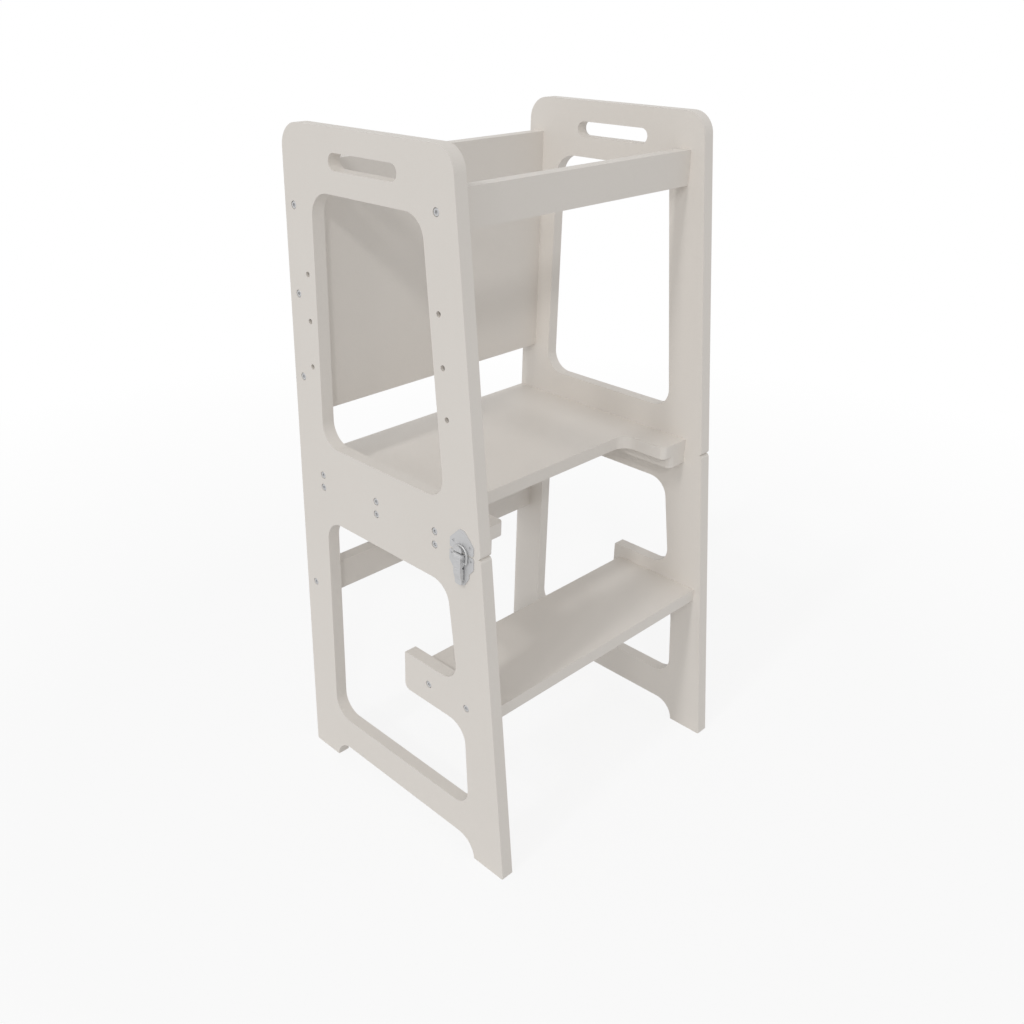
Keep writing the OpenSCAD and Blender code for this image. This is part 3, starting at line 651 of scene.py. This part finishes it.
@dataclass
class Fasteners(SubAssembly):
    """Socket-head bolts and the threaded inserts in the board ends."""

    bolted: tuple[str, ...] = ("back_panel", "front_rail", "platform", "frame_board", "rear_rail", "step")
    inserts: tuple[str, ...] = ("inserts_upper", "inserts_lower")

    def build(self) -> None:
        """Dresses the bolts and inserts."""
        self.dress_nodes([f"bolts_{board}" for board in self.bolted], Finish.BOLT)
        self.dress_nodes(self.inserts, Finish.INSERT)


@dataclass
class Hinges(SubAssembly):
    """Butt hinges at the rear of the seam."""

    leaves: tuple[str, ...] = ("hinge_leaves_upper", "hinge_leaves_lower")
    turned: tuple[str, ...] = ("hinge_pins", "hinge_screws_upper", "hinge_screws_lower")

    def build(self) -> None:
        """Dresses leaves, pins and screws."""
        self.dress_nodes(self.leaves, Finish.HINGE)
        self.dress_nodes(self.turned, Finish.RIVET)


@dataclass
class DrawLatches(SubAssembly):
    """Draw latches over the seam on both sides."""

    plates: tuple[str, ...] = ("latch_base", "latch_catch")
    screws: tuple[str, ...] = ("latch_screws_upper", "latch_screws_lower")

    def build(self) -> None:
        """Dresses plates, levers, hooks, pins and screws."""
        for side in Side:
            self.dress_nodes([f"{plate}_{side.value}" for plate in self.plates], Finish.LATCH_PLATE)
            self.dress_nodes((f"latch_lever_{side.value}",), Finish.LEVER_SHEET)
            self.dress_nodes((f"latch_hook_{side.value}",), Finish.WIRE)
            self.dress_nodes((f"lever_pin_{side.value}",), Finish.RIVET)
        self.dress_nodes(self.screws, Finish.RIVET)


@dataclass(frozen=True)
class Lamp:
    """A distant soft lamp, placed by where its light comes from, in degrees."""

    name: str
    azimuth: float
    elevation: float
    level: float
    spread: float = 5.0

    def hang(self) -> None:
        """Adds the lamp to the scene; azimuth 0 is +X and 90 is +Y."""
        lamp = bpy.data.lights.new(self.name, "SUN")
        lamp.energy = self.level
        lamp.angle = math.radians(self.spread)
        turn = math.radians(self.azimuth)
        rise = math.radians(self.elevation)
        travel = -Vector((math.cos(rise) * math.cos(turn), math.cos(rise) * math.sin(turn), math.sin(rise)))
        holder = bpy.data.objects.new(self.name, lamp)
        holder.rotation_mode = "QUATERNION"
        holder.rotation_quaternion = travel.to_track_quat("-Z", "Y")
        bpy.context.scene.collection.objects.link(holder)
        LOG.info("built %s", self.name)


@dataclass
class Studio:
    """Floor, sky, lamps and camera; distances in metres, the camera's lens and sensor in millimetres."""

    floor_half: float = 4.0
    floor_tone: float = 0.78
    floor_glow: float = 0.86
    fade_start: float = 0.7
    fade_end: float = 1.9
    sky_level: float = 0.59
    white_level: float = 1.0
    lamps: tuple[Lamp, ...] = (
        Lamp("high_lamp", azimuth=180.0, elevation=52.0, level=0.255),
        Lamp("left_lamp", azimuth=180.0, elevation=42.0, level=0.32),
        Lamp("low_lamp", azimuth=195.0, elevation=22.0, level=0.17),
        Lamp("front_lamp", azimuth=225.0, elevation=32.0, level=0.38),
    )
    eye: Point = (-0.991856, -0.901444, 1.063435)
    yaw: float = 0.749870
    pitch: float = 0.444816
    lens: float = 37.319
    sensor: float = 36.0
    shift: tuple[float, float] = (0.06947, -0.02471)

    def build(self) -> None:
        """Builds the studio in order."""
        self.build_floor()
        self.build_sky()
        for lamp in self.lamps:
            lamp.hang()
        self.build_camera()
        bpy.context.scene.view_settings.view_transform = "Standard"

    def build_floor(self) -> None:
        """Lays a plain pale floor that keeps the shadow and fades to white further out."""
        mesh = bpy.data.meshes.new("floor")
        plane = bmesh.new()
        bmesh.ops.create_grid(plane, x_segments=1, y_segments=1, size=self.floor_half)
        plane.to_mesh(mesh)
        plane.free()
        floor = bpy.data.objects.new("floor", mesh)
        bpy.context.scene.collection.objects.link(floor)
        mesh.materials.append(self.floor_paper())
        LOG.info("built floor")

    def floor_paper(self) -> bpy.types.Material:
        """Builds the floor's material, which glows only where it is seen.

        Returns:
            The floor's material.
        """
        material, build = new_material("floor_paper")
        paper = build.add("ShaderNodeBsdfDiffuse", Color=rgba(grey(self.floor_tone)))
        glow = build.add("ShaderNodeEmission", Color=rgba(WHITE), Strength=self.white_level)
        seen = build.seen_rays()
        away = build.add("ShaderNodeVectorMath", operation="LENGTH")
        build.link(build.add("ShaderNodeTexCoord").outputs["Object"], away.inputs[0])
        ramp = Ramp(low=self.fade_start, high=self.fade_end, to_low=self.floor_glow)
        fade = build.spread(away.outputs["Value"], ramp)
        build.surface(build.mix_shaders(build.math("MULTIPLY", seen, fade), paper, glow))
        return material

    def build_sky(self) -> None:
        """Lights the room evenly and shows white behind the stool."""
        world = bpy.data.worlds.new("studio")
        bpy.context.scene.world = world
        world.use_nodes = True
        build = NodeBuilder(world.node_tree)
        soft = build.add("ShaderNodeBackground", Color=rgba(WHITE), Strength=self.sky_level)
        white = build.add("ShaderNodeBackground", Color=rgba(WHITE), Strength=self.white_level)
        build.surface(build.mix_shaders(build.seen_rays(), soft, white), "ShaderNodeOutputWorld")
        LOG.info("built sky")

    def build_camera(self) -> None:
        """Stands the camera at the photograph's viewing angle."""
        lens = bpy.data.cameras.new("view")
        lens.sensor_fit = "HORIZONTAL"
        lens.sensor_width = self.sensor
        lens.lens = self.lens
        lens.shift_x, lens.shift_y = self.shift
        holder = bpy.data.objects.new("view", lens)
        holder.location = self.eye
        holder.rotation_euler = Euler((math.pi / 2 - self.pitch, 0.0, -self.yaw), "XYZ")
        bpy.context.scene.collection.objects.link(holder)
        bpy.context.scene.camera = holder
        LOG.info("built camera")


def main() -> None:
    """Builds every sub-assembly in order."""
    logging.basicConfig(level=logging.INFO, format="%(name)s: %(message)s")
    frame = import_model()
    wardrobe = Wardrobe()
    nodes = frame["nodes"]
    for group in (Boards, Fasteners, Hinges, DrawLatches):
        group(nodes, wardrobe).build()
        LOG.info("built %s", group.__name__)
    Studio().build()


if __name__ == "__main__":
    main()
